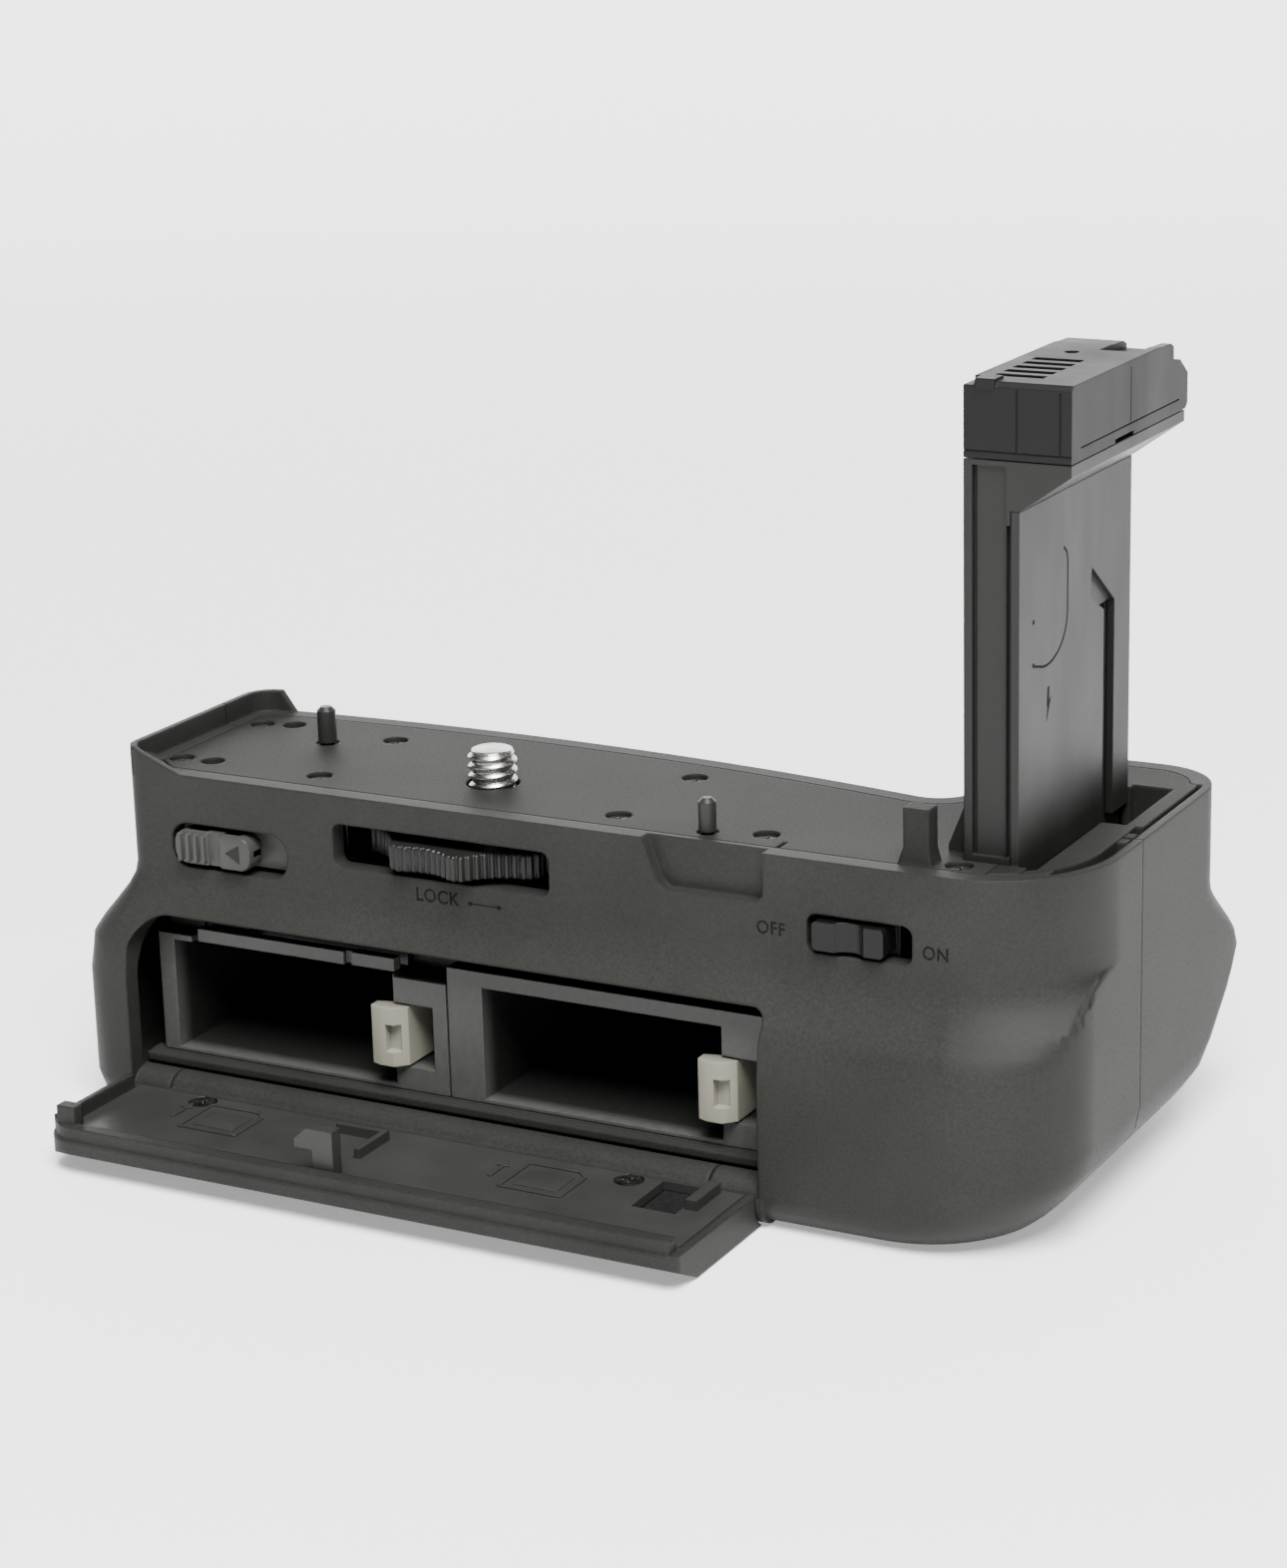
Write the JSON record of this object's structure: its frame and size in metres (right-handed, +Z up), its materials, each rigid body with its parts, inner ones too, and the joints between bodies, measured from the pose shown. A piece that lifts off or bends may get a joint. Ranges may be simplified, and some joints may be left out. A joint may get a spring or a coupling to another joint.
{
  "type": "camera battery grip",
  "caption": "Vertical grip for a camera: a tower plugs into the battery well, a thumb wheel drives the tripod screw and a hinged door opens the battery bays.",
  "frame": {"origin": "on the tripod screw's axis, level with the deck's top face", "axes": "+X along the deck towards the tower, +Y towards the camera's front, +Z up into the camera"},
  "size_m": [0.1384, 0.0901, 0.1033],
  "materials": {
    "rear_shell": "fine moulded texture",
    "front_shell": "fine moulded texture",
    "top_plate": "fine moulded texture",
    "deck_screws": "blackened",
    "locating_pins": "dark turned",
    "tower_column": "satin",
    "tower_cover": "satin",
    "tower_head": "satin",
    "tower_contacts": "plated",
    "tripod_screw": "turned, bright",
    "lock_wheel": "satin, fluted",
    "screw_bracket": "sheet",
    "release_button": "satin",
    "catch_bar": "satin",
    "power_knob": "satin",
    "circuit_board": "lacquered",
    "left_frame": "satin",
    "right_frame": "satin",
    "left_contacts": "plated",
    "right_contacts": "plated",
    "left_latch": "natural, satin",
    "right_latch": "natural, satin",
    "door_shell": "fine moulded texture",
    "door_panel": "satin",
    "door_hook": "satin",
    "door_screws": "blackened",
    "hinge_pins": "ground",
    "tripod_bush": "turned",
    "case_screws": "blackened",
    "shutter_button": "satin"
  },
  "bodies": {
    "casing": {"rear_shell": "rear_shell", "front_shell": "front_shell", "top_plate": "top_plate", "deck_screws": "deck_screws", "locating_pins": "locating_pins", "tower_column": "tower_column", "tower_cover": "tower_cover", "tower_head": "tower_head", "tower_contacts": "tower_contacts", "screw_bracket": "screw_bracket", "circuit_board": "circuit_board", "left_frame": "left_frame", "right_frame": "right_frame", "left_contacts": "left_contacts", "right_contacts": "right_contacts", "hinge_pins": "hinge_pins", "tripod_bush": "tripod_bush", "case_screws": "case_screws"},
    "door": {"door_shell": "door_shell", "door_panel": "door_panel", "door_hook": "door_hook", "door_screws": "door_screws"},
    "screw": {"tripod_screw": "tripod_screw", "lock_wheel": "lock_wheel"},
    "release": {"release_button": "release_button", "catch_bar": "catch_bar"},
    "power": {"power_knob": "power_knob"},
    "latch_l": {"left_latch": "left_latch"},
    "latch_r": {"right_latch": "right_latch"},
    "shutter": {"shutter_button": "shutter_button"}
  },
  "joints": [
    {"name": "door_hinge", "type": "hinge", "parent": "casing", "child": "door", "pos_m": [0, -0.0162, -0.0428], "axis": [1, 0, 0], "range_deg": [-90, 0]},
    {"name": "wheel_spin", "type": "hinge", "parent": "casing", "child": "screw", "pos_m": [0, 0, 0], "axis": [0, 0, 1], "continuous": true},
    {"name": "release_slide", "type": "slide", "parent": "casing", "child": "release", "axis": [1, 0, 0], "range_m": [0, 0.0028]},
    {"name": "power_slide", "type": "slide", "parent": "casing", "child": "power", "axis": [1, 0, 0], "range_m": [0, 0.0027]},
    {"name": "left_latch_swing", "type": "hinge", "parent": "casing", "child": "latch_l", "pos_m": [-0.006, 0.005, -0.031], "axis": [0, 0, 1], "range_deg": [0, 10], "stiffness_Nm_per_rad": 0.02, "springref_deg": -2.86},
    {"name": "right_latch_swing", "type": "hinge", "parent": "casing", "child": "latch_r", "pos_m": [0.0411, 0.005, -0.031], "axis": [0, 0, 1], "range_deg": [0, 10], "stiffness_Nm_per_rad": 0.02, "springref_deg": -2.86},
    {"name": "shutter_press", "type": "slide", "parent": "casing", "child": "shutter", "axis": [0, -1, 0], "range_m": [0, 0.0008], "stiffness_N_per_m": 600, "springref_m": -0.001}
  ]
}
